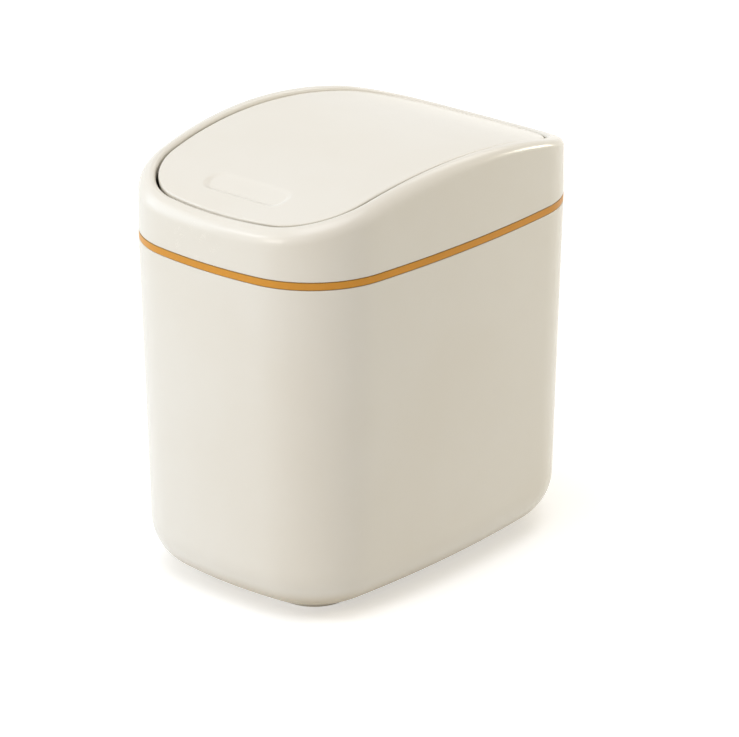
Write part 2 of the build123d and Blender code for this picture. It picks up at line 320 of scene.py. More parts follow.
tub_rows = np.concatenate(
    [
        core(WALL_FACINGS, CORE_SHARES, lambda x, y: np.full_like(x, FOOT_HEIGHT)),
        carried(tub_section, WALL_FACINGS),
        core(WALL_FACINGS, CORE_SHARES[::-1], lambda x, y: np.full_like(x, floor_level)),
    ]
)
tub = moulding("tub", [(tub_rows, False)], "bin")
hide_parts("bin_body")

# %% [markdown]
# The hoop is a plain ring, flush with both walls. What makes it read as a piece of its own is the
# eased edge above and below it, which leaves a fine line of shadow at each seam.

# %% The trim hoop
HOOP_THICKNESS = 2.3 * MM
hoop_section = section(
    seam_arc(SEAM_BREAK, HOOP_Z + SEAM_BREAK, -QUARTER_TURN, 0),
    seam_arc(SEAM_BREAK, LID_Z - SEAM_BREAK, 0, QUARTER_TURN),
    seam_arc(HOOP_THICKNESS - SEAM_BREAK, LID_Z - SEAM_BREAK, QUARTER_TURN, HALF_TURN),
    seam_arc(HOOP_THICKNESS - SEAM_BREAK, HOOP_Z + SEAM_BREAK, HALF_TURN, THREE_QUARTERS),
)
hoop = moulding("trim_hoop", [(carried(hoop_section, WALL_FACINGS), True)], "lid")
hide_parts("trim_band")

# %% [markdown]
# The lid frame's wall rises with a slight draft and rolls over into the arch. The arch runs along
# the can, so the top is level across the sides and slopes down at the two ends, and the roll turns
# through fewer degrees there. In the upright plane that holds the wall's facing, the roll is a
# circle that touches the line of the wall and the line of the arch. Its centre is where those two
# lines cross once both are moved in by the radius. The roll is full round the front, where the hand
# comes, and tightens along the sides towards the rear.

# %% The arch and its rolled shoulder
LID_DRAFT = math.radians(0.8)
ARCH_RADIUS = 216.0 * MM
FRONT_SHOULDER = 6.0 * MM
REAR_SHOULDER = 2.8 * MM
SIDE_END_Y = CORNER_Y + CORNER_RADIUS * math.sin(SIDE_ANGLE)
LID_FACINGS = facings(side=64, corner=48, back=32, front=32)


def arch(y, crest):
    """The height of the arch at y: a circle along the can, with its crest at the middle."""
    return crest - ARCH_RADIUS + np.sqrt(ARCH_RADIUS**2 - y**2)


def arch_slope(facing, inset):
    """How steeply the arch rises towards the middle where the wall faces an angle."""
    y = outline(facing, inset)[1]
    return np.arctan(y * np.sin(facing) / np.sqrt(ARCH_RADIUS**2 - y**2))


def arch_at(facing, inset, crest):
    """The height of the arch on the outline moved in by inset."""
    return arch(outline(facing, inset)[1], crest)


def shoulder_radius(facing):
    """The outer roll's radius: even round each end, and changing evenly with y along the sides."""
    rear = np.clip((outline(facing, 0)[1] / SIDE_END_Y + 1) / 2, 0, 1)
    return FRONT_SHOULDER * (1 - rear) + REAR_SHOULDER * rear


def roll_centre(facing, inset, crest, radius):
    """Where the roll between the lid's wall and the arch has its centre: inset and height."""
    touch = inset + radius
    slope = arch_slope(facing, touch)
    level = arch_at(facing, touch, crest)
    lean = math.tan(LID_DRAFT)
    wall_side = inset + radius / math.cos(LID_DRAFT) - LID_Z * lean
    rise = level * np.cos(slope) + (wall_side - touch) * np.sin(slope) - radius
    centre_z = rise / (np.cos(slope) - lean * np.sin(slope))
    return wall_side + centre_z * lean, centre_z


# %% [markdown]
# The frame's section is a closed loop: the wall's foot, the shoulder, a narrow land, the round into
# the opening, the lip that stiffens it, back under the shoulder and down the inside, and round the
# plug that drops into the tub. Carried round the outline it is a ring, so nothing needs capping.
# Round the front there is no land: the roll is so full that the round begins before the roll has
# reached the arch. There the round touches the roll from inside. The distance between the centres
# of two such circles is the difference of their radii, and that gives the height of the round.

# %% The lid frame's shell
OPENING_INSET = 6.6 * MM
LIP_THICKNESS = 1.6 * MM
LIP_INSET = OPENING_INSET - LIP_THICKNESS
LIP_DEPTH = 5.0 * MM
MOUTH_ROUND = 1.6 * MM
INNER_SHOULDER = 2.4 * MM
SHOULDER_STEPS = 20
MOUTH_STEPS = 10
INNER_STEPS = 8
PLUG_INSET = 2.5 * MM
PLUG_INNER = 4.0 * MM
JOGGLE_Z = LID_Z + 3.0 * MM


def over_the_top(facing):
    """The outer roll and the round into the opening: two arcs, from the wall up and over."""
    radius = shoulder_radius(facing)
    roll_inset, roll_z = roll_centre(facing, 0, CREST, radius)
    mouth_inset = OPENING_INSET - MOUTH_ROUND
    slope = arch_slope(facing, mouth_inset)
    on_arch = arch_at(facing, mouth_inset, CREST) - MOUTH_ROUND / np.cos(slope)
    between = radius - MOUTH_ROUND
    meeting = np.arccos(np.clip((roll_inset - mouth_inset) / between, 0, 1))
    overlap = meeting < QUARTER_TURN - slope
    mouth_z = np.where(overlap, roll_z + between * np.sin(meeting), on_arch)
    turned = np.minimum(meeting, QUARTER_TURN - slope)
    roll = arc(roll_inset, roll_z, radius, LID_DRAFT, turned, SHOULDER_STEPS)
    return roll, arc(mouth_inset, mouth_z, MOUTH_ROUND, turned, HALF_TURN, MOUTH_STEPS)


def under_the_top(facing):
    """The smaller roll inside the wall, from the wall up."""
    inset, height = roll_centre(facing, WALL, CREST - WALL, INNER_SHOULDER)
    turned = QUARTER_TURN - arch_slope(facing, WALL + INNER_SHOULDER)
    return arc(inset, height, INNER_SHOULDER, LID_DRAFT, turned, INNER_STEPS)


joggle_inset = WALL + (JOGGLE_Z - LID_Z) * math.tan(LID_DRAFT)
lip_z = arch_at(LID_FACINGS, OPENING_INSET, CREST) - LIP_DEPTH + FINE_ROUND
frame_section = section(
    seam_arc(SEAM_BREAK, LID_Z + SEAM_BREAK, -QUARTER_TURN, LID_DRAFT),
    *over_the_top(LID_FACINGS),
    fine_arc(OPENING_INSET - FINE_ROUND, lip_z, HALF_TURN, THREE_QUARTERS),
    fine_arc(LIP_INSET + FINE_ROUND, lip_z, THREE_QUARTERS, FULL_TURN),
    corner(LIP_INSET, arch_at(LID_FACINGS, LIP_INSET, CREST - WALL)),
    under_the_top(LID_FACINGS)[::-1],
    corner(joggle_inset, JOGGLE_Z),
    fine_arc(PLUG_INNER - FINE_ROUND, JOGGLE_Z - FINE_ROUND, QUARTER_TURN, HALF_TURN),
    fine_arc(PLUG_INNER - FINE_ROUND, PLUG_Z + FINE_ROUND, HALF_TURN, THREE_QUARTERS),
    fine_arc(PLUG_INSET + FINE_ROUND, PLUG_Z + FINE_ROUND, THREE_QUARTERS, FULL_TURN),
    corner(PLUG_INSET, LID_Z),
)
frame_rows = carried(frame_section, LID_FACINGS)
print(f"the frame's section has {len(frame_section)} points")

# %% [markdown]
# Under the lip, half-way along each side, hangs the bearing that carries the flap: a tab with a
# hole and a boss for the pin, a peg that stops the swing, and two ribs to the outer wall. Each is a
# plate or a bar that lies across the can, so all of them are one formula: the distance from an axis
# out to the edge, as a function of the turn round that axis. The section language above carries it.
# One fault is left: the lip has no hole for the pin, so the pin's top cuts through the lip's lower
# edge, from 160.0 to 161.6 mm up, behind the ear of the flap.

# %% Plates and bars across the can
TURN = np.linspace(0, FULL_TURN, 128, endpoint=False)
SIDEWAYS = np.maximum(np.abs(np.sin(TURN)), TINY)
UPWARDS = np.cos(TURN)
SUNK = 0.05 * MM  # keeps a joined-on form from lying in the very plane of the wall that carries it
FACE_SHARE = 0.8  # of the way from edge to axis has rows, and a pole closes the rest


def across_can(reach, low_x, high_x, y, z, bore=None):
    """A plate or bar across the can, of the given reach round the axis at y and z.

    Its section runs over one face, the eased edge, the rim, the other edge and the other face. With
    a bore, the faces stop at its radius and are joined by its wall. Otherwise poles close it.
    """
    reach = np.broadcast_to(reach, TURN.shape)
    face_inset = reach - bore if bore else reach * FACE_SHARE
    rows = section(
        corner(face_inset, low_x),
        fine_arc(FINE_ROUND, low_x + FINE_ROUND, -QUARTER_TURN, 0),
        fine_arc(FINE_ROUND, high_x - FINE_ROUND, 0, QUARTER_TURN),
        corner(face_inset, high_x),
    )
    radius = reach - rows[..., 0]
    points = np.stack([rows[..., 1], y + radius * np.sin(TURN), z + radius * UPWARDS], axis=-1)
    return points, bool(bore)


def both_sides(surfaces):
    """The surfaces and their copies on the other side of the can."""
    return surfaces + [(rows * (-1, 1, 1), joined) for rows, joined in surfaces]


def upright_slab(half_y, half_z):
    """The reach of a rectangle: the nearer of its upright and its level edges."""
    return np.minimum(half_y / SIDEWAYS, half_z / np.maximum(np.abs(UPWARDS), TINY))


# %% The bearings of the flap
BORE_RADIUS = 2.05 * MM
TAB_WIDTH = 17.0 * MM
TAB_BOTTOM_Z = 142.5 * MM
TAB_TOP_Z = CREST - LIP_DEPTH / 2
BOSS_RADIUS = 4.2 * MM
BOSS_HEIGHT = 0.9 * MM
PEG_RADIUS = 3.0 * MM
PEG_DROP = 12.0 * MM
PEG_REACH = 3.0 * MM
WEB_THICKNESS = 1.2 * MM
TAB_LOW_X = HALF_WIDTH - OPENING_INSET + SUNK
TAB_HIGH_X = HALF_WIDTH - LIP_INSET - SUNK


def tab_reach():
    """From the pivot to the tab's edge: straight flanks, a round lower end and a flat top."""
    end_radius = TAB_WIDTH / 2
    drop = PIVOT_Z - TAB_BOTTOM_Z - end_radius
    flank = end_radius / SIDEWAYS
    towards = -UPWARDS * drop
    round_end = towards + np.sqrt(np.maximum(towards**2 - drop**2 + end_radius**2, 0))
    reach = np.where(flank * UPWARDS < -drop, round_end, flank)
    return np.minimum(reach, (TAB_TOP_Z - PIVOT_Z) / np.maximum(UPWARDS, TINY))


web_top = TAB_TOP_Z - PIVOT_Z
web_reach = upright_slab(WEB_THICKNESS / 2, (PEG_DROP + web_top) / 2)
web_z = PIVOT_Z + (web_top - PEG_DROP) / 2
web_y = (TAB_WIDTH - WEB_THICKNESS) / 2 - SUNK
wall_x = HALF_WIDTH - WALL / 2 - (PIVOT_Z - LID_Z) * math.tan(LID_DRAFT)
bearing = [
    across_can(tab_reach(), TAB_LOW_X, TAB_HIGH_X, 0, PIVOT_Z, BORE_RADIUS),
    across_can(BOSS_RADIUS, TAB_LOW_X + SUNK, TAB_HIGH_X + BOSS_HEIGHT, 0, PIVOT_Z, BORE_RADIUS),
    across_can(PEG_RADIUS, TAB_LOW_X - PEG_REACH, TAB_HIGH_X - SUNK, 0, PIVOT_Z - PEG_DROP),
    across_can(web_reach, TAB_HIGH_X - SUNK, wall_x, web_y, web_z),
    across_can(web_reach, TAB_HIGH_X - SUNK, wall_x, -web_y, web_z),
]
lid = moulding("lid_frame_shell", [(frame_rows, True)] + both_sides(bearing), "lid")
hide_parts("lid_frame")

# %% [markdown]
# The flap lies a little below the frame, with an even gap round it. Its press pad is a shallow bath
# with round ends. Cutting the pad out with a boolean would leave long thin triangles that catch the
# light. Here it is part of the height formula: the distance in from the pad's edge, eased by a
# smooth step, says how much of the pad's depth is taken away.

# %% The press pad's formula
FLAP_THICKNESS = 1.8 * MM
PAD_CENTRE_Y = -57.0 * MM
PAD_LENGTH = 40.0 * MM
PAD_WIDTH = 12.0 * MM
PAD_DEPTH = 0.70 * MM
PAD_TILT = math.radians(5.3)
PAD_EDGE = 3.0 * MM
PAD_BACKING = 1.5 * MM


def inside_pad(x, y, margin=0.0):
    """How far a point lies inside the pad's edge moved out by margin, and negative outside it."""
    beyond = np.maximum(np.abs(x) - (PAD_LENGTH - PAD_WIDTH) / 2, 0)
    return PAD_WIDTH / 2 + margin - np.hypot(beyond, y - PAD_CENTRE_Y)


def smooth_step(value):
    """0 below 0, 1 above 1, and between them three squares less two cubes."""
    value = np.clip(value, 0, 1)
    return value * value * (3 - 2 * value)


def pad_depth(y):
    """The pad's depth at y: tilted, so that it is deepest along the front."""
    return PAD_DEPTH + math.tan(PAD_TILT) * (PAD_CENTRE_Y - y)


def flap_top(x, y):
    """The flap's upper surface: the arch, less the pad."""
    return arch(y, FLAP_CREST) - pad_depth(y) * smooth_step(inside_pad(x, y) / PAD_EDGE)


def flap_under(x, y):
    """The flap's lower surface: the arch, less the thickness, with a swell under the pad."""
    swell = np.maximum(pad_depth(y) + PAD_BACKING - FLAP_THICKNESS, 0)
    share = smooth_step(inside_pad(x, y, PAD_BACKING) / PAD_EDGE)
    return arch(y, FLAP_CREST - FLAP_THICKNESS) - swell * share


# %% [markdown]
# The shell of the flap starts at the middle of its upper surface, goes out to the edge, down and
# round the skirt that hangs there, and back to the middle underneath. Rows and facings lie close
# together where the pad is and wide apart elsewhere, so the small form is sharp and the mesh light.

# %% The flap's shell
FLAP_INSET = 7.6 * MM
FLAP_EDGE = 0.9 * MM
SKIRT_INSET = 8.1 * MM
SKIRT_INNER = 10.1 * MM
SKIRT_DEPTH = 5.0 * MM
RIM_STEPS = 6
PAD_FIRST_INSET = 15.5 * MM
PAD_LAST_INSET = 30.5 * MM
TOP_ROWS = (2, 68, 8)  # from the core to the pad's zone, across it, and out to the edge
UNDER_ROWS = (4, 36)  # from the skirt to the pad's backing, and across it
FLAP_SHARES = np.linspace(0.03, 0.97, 18)
FLAP_FACINGS = facings(side=44, corner=36, back=24, front=128)


def on_flap(insets, height):
    """Rows of points on the flap, where height is a function of x and y."""
    x, y = outline(FLAP_FACINGS, insets[:, None])
    return np.stack([x, y, height(x, y)], axis=-1)


def flap_rim():
    """The rounded edge between the flap's arch and its rim, from the arch down."""
    centre = FLAP_INSET + FLAP_EDGE
    slope = arch_slope(FLAP_FACINGS, centre)
    centre_z = arch_at(FLAP_FACINGS, centre, FLAP_CREST) - FLAP_EDGE / np.cos(slope)
    return arc(centre, centre_z, FLAP_EDGE, QUARTER_TURN - slope, 0, RIM_STEPS)


def flap_level(inset, below):
    """The height on the outline moved in by inset, a distance below the flap's top."""
    return arch_at(FLAP_FACINGS, inset, FLAP_CREST) - below


skirt_z = flap_level(SKIRT_INSET, SKIRT_DEPTH - FINE_ROUND)
plate_z = flap_level(FLAP_INSET, FLAP_THICKNESS - FINE_ROUND)
edge_section = section(
    flap_rim(),
    fine_arc(FLAP_INSET + FINE_ROUND, plate_z, 0, -QUARTER_TURN),
    corner(SKIRT_INSET, flap_level(SKIRT_INSET, FLAP_THICKNESS)),
    fine_arc(SKIRT_INSET + FINE_ROUND, skirt_z, 0, -QUARTER_TURN),
    fine_arc(SKIRT_INNER - FINE_ROUND, skirt_z, -QUARTER_TURN, -HALF_TURN),
    corner(SKIRT_INNER, flap_level(SKIRT_INNER, FLAP_THICKNESS)),
)
backing_inset = PAD_FIRST_INSET - PAD_BACKING
top_insets = np.concatenate(
    [
        np.linspace(CORE_INSET, PAD_LAST_INSET, TOP_ROWS[0], endpoint=False),
        np.linspace(PAD_LAST_INSET, PAD_FIRST_INSET, TOP_ROWS[1], endpoint=False),
        np.linspace(PAD_FIRST_INSET, FLAP_INSET + FLAP_EDGE + HOLD, TOP_ROWS[2]),
    ]
)
under_insets = np.concatenate(
    [
        np.linspace(SKIRT_INNER + HOLD, backing_inset, UNDER_ROWS[0], endpoint=False),
        np.linspace(backing_inset, CORE_INSET, UNDER_ROWS[1]),
    ]
)
flap_rows = np.concatenate(
    [
        core(FLAP_FACINGS, FLAP_SHARES, flap_top),
        on_flap(top_insets, flap_top),
        carried(edge_section, FLAP_FACINGS),
        on_flap(under_insets, flap_under),
        core(FLAP_FACINGS, FLAP_SHARES[::-1], flap_under),
    ]
)
print(f"the flap's shell has {len(flap_rows)} rows of {len(FLAP_FACINGS)} points")

# %% [markdown]
# Underneath, three ribs across and two along keep the flap from warping as it cools, and an ear on
# each side holds a pin. A rib is a small upright section carried along a straight line in plan, and
# its height follows the arch. The ear is one more plate across the can: round below, with flanks
# that leave the round end and rise to the skirt.

# %% The flap's ribs and ears
RIB_THICKNESS = 1.3 * MM
RIB_DEPTH = 2.6 * MM
RIB_END_INSET = 12.5 * MM
RIB_STEPS = 40
CROSS_RIB_Y = 40.0 * MM
LONG_RIB_X = 22.0 * MM
EAR_RADIUS = 3.9 * MM
EAR_HALF_WIDTH = 9.0 * MM
EAR_PROUD = 0.3 * MM
WIDEST_FLARE = math.radians(80)  # keeps the reach along a tangent finite


def rib(start, end):
    """An upright rib under the flap between two places in plan."""
    start, end = np.array(start), np.array(end)
    sideways = np.array([start[1] - end[1], end[0] - start[0]]) / np.linalg.norm(end - start)
    ease = np.linspace(0, QUARTER_TURN, FINE_STEPS + 1)
    half = RIB_THICKNESS / 2 - FINE_ROUND
    low = FLAP_THICKNESS + RIB_DEPTH - FINE_ROUND
    flank = np.concatenate([[RIB_THICKNESS / 2], half + FINE_ROUND * np.cos(ease)])
    depth = np.concatenate([[FLAP_THICKNESS / 2], low + FINE_ROUND * np.sin(ease)])
    offset = np.concatenate([flank, -flank[::-1]])
    below = np.concatenate([depth, depth[::-1]])
    part = np.linspace(0, 1, RIB_STEPS)[:, None, None]
    plan = start * (1 - part) + end * part + offset[:, None] * sideways
    height = arch(plan[..., 1], FLAP_CREST) - below
    return np.concatenate([plan, height[..., None]], axis=-1), False


def ear_reach():
    """From the pivot to the ear's edge: a circle, its two tangents up to the skirt, and a top."""
    root = FLAP_CREST - SKIRT_DEPTH - PIVOT_Z
    touch = math.asin(EAR_RADIUS / math.hypot(EAR_HALF_WIDTH, root))
    touch += math.atan2(root, EAR_HALF_WIDTH)
    from_below = np.arccos(-UPWARDS)
    past_touch = np.clip(from_below - touch, 0, WIDEST_FLARE)
    top = (FLAP_CREST - FLAP_THICKNESS / 2 - PIVOT_Z) / np.maximum(UPWARDS, TINY)
    reach = np.minimum(EAR_RADIUS / np.cos(past_touch), EAR_HALF_WIDTH / SIDEWAYS)
    return np.minimum(reach, top)


rib_x = HALF_WIDTH - RIB_END_INSET
rib_y = HALF_DEPTH - RIB_END_INSET - END_BOW
side_rib_x = rib_x - SIDE_BOW
ribs = [
    rib((-rib_x, 0), (rib_x, 0)),
    rib((-side_rib_x, CROSS_RIB_Y), (side_rib_x, CROSS_RIB_Y)),
    rib((-side_rib_x, -CROSS_RIB_Y), (side_rib_x, -CROSS_RIB_Y)),
    rib((LONG_RIB_X, -rib_y), (LONG_RIB_X, rib_y)),
    rib((-LONG_RIB_X, -rib_y), (-LONG_RIB_X, rib_y)),
]
ear_x = HALF_WIDTH - SKIRT_INNER - EAR_PROUD
skirt_x = HALF_WIDTH - SKIRT_INSET - SUNK
flap_x = HALF_WIDTH - FLAP_INSET
pin_radius = BORE_RADIUS - SUNK
ears = [
    across_can(ear_reach(), ear_x, skirt_x, 0, PIVOT_Z, pin_radius),
    across_can(EAR_RADIUS, ear_x + SUNK, flap_x, 0, PIVOT_Z, pin_radius),
]
flap_surfaces = [(flap_rows, False)] + ribs + both_sides(ears)
flap = moulding("flap_shell", flap_surfaces, "flap")
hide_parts("swing_flap")

# %% [markdown]
# Every finish is built of nodes, and node trees are slow to read when each link is a line of its
# own. A small class wraps an output socket, so that sums are written as sums: an expression on
# wires adds Math nodes. One method adds every other node: its settings first, then its sockets.
# The rest are short names for groups of nodes that several finishes share.


# %% Wires
class Wire:
    """An output socket of a finish, to be used in sums."""

    def __init__(self, finish, socket):
        self.finish = finish
        self.socket = socket

    def maths(self, operation, left, right):
        return self.finish.node("ShaderNodeMath", {"operation": operation}, {0: left, 1: right})

    def __add__(self, other):
        return self.maths("ADD", self, other)

    def __radd__(self, other):
        return self.maths("ADD", other, self)

    def __sub__(self, other):
        return self.maths("SUBTRACT", self, other)

    def __rsub__(self, other):
        return self.maths("SUBTRACT", other, self)

    def __mul__(self, other):
        return self.maths("MULTIPLY", self, other)

    def __rmul__(self, other):
        return self.maths("MULTIPLY", other, self)

    def part(self, name):
        """Another output of the same node."""
        return Wire(self.finish, self.socket.node.outputs[name])


class Finish:
    """A node tree being built: a material's, or the world's."""

    def __init__(self, owner):
        owner.use_nodes = True
        self.owner = owner
        self.tree = owner.node_tree
        self.tree.nodes.clear()

    def node(self, kind, settings, sockets):
        """Adds a node, sets it up, fills its sockets with values or wires, and gives its output."""
        made = self.tree.nodes.new(kind)
        for name, value in settings.items():
            setattr(made, name, value)
        for name, value in sockets.items():
            if isinstance(value, Wire):
                self.tree.links.new(value.socket, made.inputs[name])
            else:
                made.inputs[name].default_value = value
        return Wire(self, made.outputs[0]) if made.outputs else made

    def place(self):
        """The place on the object."""
        return self.node("ShaderNodeTexCoord", {}, {}).part("Object")

    def noise(self, place, scale, detail=2.0):
        """Soft noise between 0 and 1, with a scale in waves per metre."""
        sockets = {"Vector": place, "Scale": scale, "Detail": detail}
        return self.node("ShaderNodeTexNoise", {}, sockets)

    def openness(self, reach):
        """1 on an open surface, and less where others stand within reach round it."""
        made = self.node("ShaderNodeAmbientOcclusion", {"samples": 8}, {"Distance": reach})
        return made.part("AO")

    def ramp(self, value, low, high):
        """0 where the value is low, 1 where it is high, with a smooth step between."""
        sockets = {"Value": value, "From Min": low, "From Max": high}
        return self.node("ShaderNodeMapRange", {"interpolation_type": "SMOOTHSTEP"}, sockets)

    def blend(self, share, first, second):
        """One colour turning into another."""
        sockets = {0: share, 6: first, 7: second}
        made = self.node("ShaderNodeMix", {"data_type": "RGBA"}, sockets)
        return Wire(self, made.socket.node.outputs[2])

    def bump(self, height):
        """The normal of a surface raised by height, in metres."""
        return self.node("ShaderNodeBump", {}, {"Height": height, "Distance": 1.0})

    def material(self, surface):
        """Ends a material with one principled shader, and returns it."""
        shader = self.node("ShaderNodeBsdfPrincipled", {}, surface)
        self.node("ShaderNodeOutputMaterial", {}, {"Surface": shader})
        return self.owner


# %% [markdown]
# Moulded plastic is hardly ever one flat colour. The pigment swirls a little as it flows, the
# polish of the tool leaves a faint ripple that only shows in reflections, and handling dulls some
# places and polishes others. The differences are small: two to four percent in colour, a few
# hundredths in roughness. Two stronger tints are painted shade, standing in for shade that the
# lamps don't give, and no real can is known to have them: a tan darkening low down, where the tub
# turns under, and a darkening in the seams on the +X side, where one moulding stands close to
# another. The foot has neither. One function makes all three cream finishes. It takes the place
# that handling changes most, because that differs: the tub's foot, the front of the lid, the pad of
# the flap.

# %% Cream plastic
CREAM = (0.868, 0.838, 0.772, 1.0)
CREAM_WARM = (0.852, 0.816, 0.740, 1.0)
SWIRL_SCALE = 14.0
SWIRL_DETAIL = 3.0
SWIRL_SPLIT = (0.35, 0.65)
RIPPLE_SCALE = 210.0
GRAIN_SCALE = 2600.0
PLASTIC_IOR = 1.49
POLISH = 0.24
UNEVENNESS = 0.05
RIPPLE_HEIGHT = 0.006 * MM
GRAIN_HEIGHT = 0.0016 * MM
# Painted shade for the seams on the +X side: the colour that a shut-in surface turns to.
SEAM_SHADE_COLOUR = (0.40, 0.355, 0.26, 1.0)
SEAM_SHADE_REACH = 2.5 * MM
SHUT_IN = 0.10
OPEN = 0.97
UNSHADED_TO_X = 3.0 * MM
SHADED_FROM_X = 34.0 * MM
# Painted shade low down on the tub, where it turns under, fading out higher up.
LOW_SHADE_COLOUR = (0.50, 0.40, 0.22, 1.0)
LOW_SHADE_FULL_Z = 3.0 * MM
FOOT_UNSHADED_Z = 0.8 * LOW_SHADE_FULL_Z
LOW_SHADE_END_Z = 14.0 * MM


def cream_plastic(name, worn_place, worn_radius, worn_change):
    """Cream plastic whose roughness changes by worn_change near worn_place, with painted shade."""
    finish = Finish(bpy.data.materials.new(name))
    place = finish.place()
    swirl = finish.noise(place, SWIRL_SCALE, SWIRL_DETAIL)
    ripple = finish.noise(place, RIPPLE_SCALE)
    grain = finish.noise(place, GRAIN_SCALE)
    reach = {"operation": "DISTANCE"}
    distance = finish.node("ShaderNodeVectorMath", reach, {0: place, 1: worn_place}).part("Value")
    worn = 1 - finish.ramp(distance, 0.0, worn_radius)
    roughness = POLISH + UNEVENNESS * (swirl - 0.5) + UNEVENNESS * (grain - 0.5)
    roughness = roughness + worn_change * (worn * ripple)
    normal = finish.bump(RIPPLE_HEIGHT * ripple + GRAIN_HEIGHT * grain)
    axes = finish.node("ShaderNodeSeparateXYZ", {}, {0: place})
    level = axes.part("Z")
    # Painted shade low down, fading out upwards; the foot itself is left unshaded.
    above_foot = finish.ramp(level, FOOT_UNSHADED_Z, LOW_SHADE_FULL_Z)
    low_shade = above_foot * (1 - finish.ramp(level, LOW_SHADE_FULL_Z, LOW_SHADE_END_Z))
    # Painted shade in the seams, on the +X side only: darker where other surfaces stand close
    # round.
    seam_shade_side = above_foot * finish.ramp(axes.part("X"), UNSHADED_TO_X, SHADED_FROM_X)
    seam_shade = seam_shade_side * (1 - finish.ramp(finish.openness(SEAM_SHADE_REACH), SHUT_IN, OPEN))
    own_colour = finish.blend(finish.ramp(swirl, *SWIRL_SPLIT), CREAM, CREAM_WARM)
    surface = {
        "Base Color": finish.blend(seam_shade, finish.blend(low_shade, own_colour, LOW_SHADE_COLOUR), SEAM_SHADE_COLOUR),
        "Roughness": roughness,
        "Normal": normal,
        "IOR": PLASTIC_IOR,
    }
    return finish.material(surface)


lid_front = (0, -HALF_DEPTH, LID_Z)
pad_middle = (0, PAD_CENTRE_Y, arch(PAD_CENTRE_Y, FLAP_CREST))
tub_plastic = cream_plastic("cream_tub", (0, 0, 0), worn_radius=0.075, worn_change=0.10)
lid_plastic = cream_plastic("cream_lid", lid_front, worn_radius=0.045, worn_change=0.05)
flap_plastic = cream_plastic("cream_flap", pad_middle, worn_radius=0.022, worn_change=-0.10)
tub.data.materials.append(tub_plastic)
lid.data.materials.append(lid_plastic)
flap.data.materials.append(flap_plastic)
print("cream finishes:", tub_plastic.name, lid_plastic.name, flap_plastic.name)

# %% [markdown]
# The hoop is plastic with a golden-orange lacquer. Towards its eased edges the colour turns darker:
# painted shade for the seams above and below it. The lacquer is a little uneven in depth and gloss
# where it has flowed. A metal would mirror the room; a lacquer over a warm base has a soft gloss.

# %% Golden lacquer
GOLD = (0.800, 0.360, 0.055, 1.0)
# Painted shade for the seams above and below the hoop: the colour that its edges turn to.
GOLD_EDGE_SHADE = (0.300, 0.160, 0.030, 1.0)
HOOP_SHADE_BAND = 0.55 * MM
FLOW_SCALE = 60.0
FLOW_DETAIL = 3.0
FLOW_DEPTH = 0.25
LACQUER_IOR = 1.25
LACQUER_ROUGHNESS = 0.34
FLOW_ROUGHNESS = 0.08


def golden_lacquer():
    """A lacquer darkened by painted shade towards the hoop's upper and lower edges."""
    finish = Finish(bpy.data.materials.new("golden_lacquer"))
    place = finish.place()
    height = finish.node("ShaderNodeSeparateXYZ", {}, {0: place}).part("Z")
    above = finish.ramp(height, HOOP_Z, HOOP_Z + HOOP_SHADE_BAND)
    below = 1 - finish.ramp(height, LID_Z - HOOP_SHADE_BAND, LID_Z)
    flow = finish.noise(place, FLOW_SCALE, FLOW_DETAIL)
    grain = finish.noise(place, GRAIN_SCALE)
    # Painted shade darkens the colour towards both edges, and the flow varies it a little.
    depth = above * below * (1 - FLOW_DEPTH * flow)
    normal = finish.bump(GRAIN_HEIGHT * grain)
    surface = {
        "Base Color": finish.blend(depth, GOLD_EDGE_SHADE, GOLD),
        "Roughness": LACQUER_ROUGHNESS + FLOW_ROUGHNESS * (flow - 0.5),
        "IOR": LACQUER_IOR,
        "Normal": normal,
    }
    return finish.material(surface)


hoop.data.materials.append(golden_lacquer())
print("hoop finish:", hoop.data.materials[0].name)

# %% [markdown]
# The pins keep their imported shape, because they are small, round and hidden. They are acetal, a
# plastic that slides well: whiter than the mouldings, waxy, with turning marks round the axis where
# they rub in the bearing. Noise that is stretched until it hardly changes but along X makes rings.

# %% Acetal pins
ACETAL = (0.82, 0.82, 0.80, 1.0)
ACETAL_RUBBED = (0.62, 0.61, 0.58, 1.0)
ALONG_THE_AXIS = (1.0, 0.02, 0.02)
RING_SCALE = 1800.0
RING_SPLIT = (0.50, 0.62)
RUBBED_SHARE = 0.5
ACETAL_ROUGHNESS = 0.38
RUBBED_ROUGHNESS = 0.14


def acetal():
    """Waxy white plastic, rubbed dull in rings where it turns in the bearing."""
    finish = Finish(bpy.data.materials.new("acetal"))
    place = finish.place()
    scaled = {"operation": "MULTIPLY"}
    rings = finish.node("ShaderNodeVectorMath", scaled, {0: place, 1: ALONG_THE_AXIS})
    rubbed = finish.ramp(finish.noise(rings, RING_SCALE), *RING_SPLIT)
    surface = {
        "Base Color": finish.blend(RUBBED_SHARE * rubbed, ACETAL, ACETAL_RUBBED),
        "Roughness": ACETAL_ROUGHNESS + RUBBED_ROUGHNESS * rubbed,
        "Normal": finish.bump(GRAIN_HEIGHT * rubbed),
    }
    return finish.material(surface)


pin_finish = acetal()
for pin_name in ("pivot_pin_left", "pivot_pin_right"):
    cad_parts[pin_name].material_slots[0].material = pin_finish
print("pin finish:", pin_finish.name)

# %% [markdown]
# The can stands on a plain white floor under a white room. To the camera, and in reflections, the
# world is pure white. As a light it is softer and a little warm, and it fills the shadows. The
# floor's own white takes the can's soft shadow. A glow that only the camera and reflections see
# lifts it to the white of the background, and grows with distance, so no horizon shows.

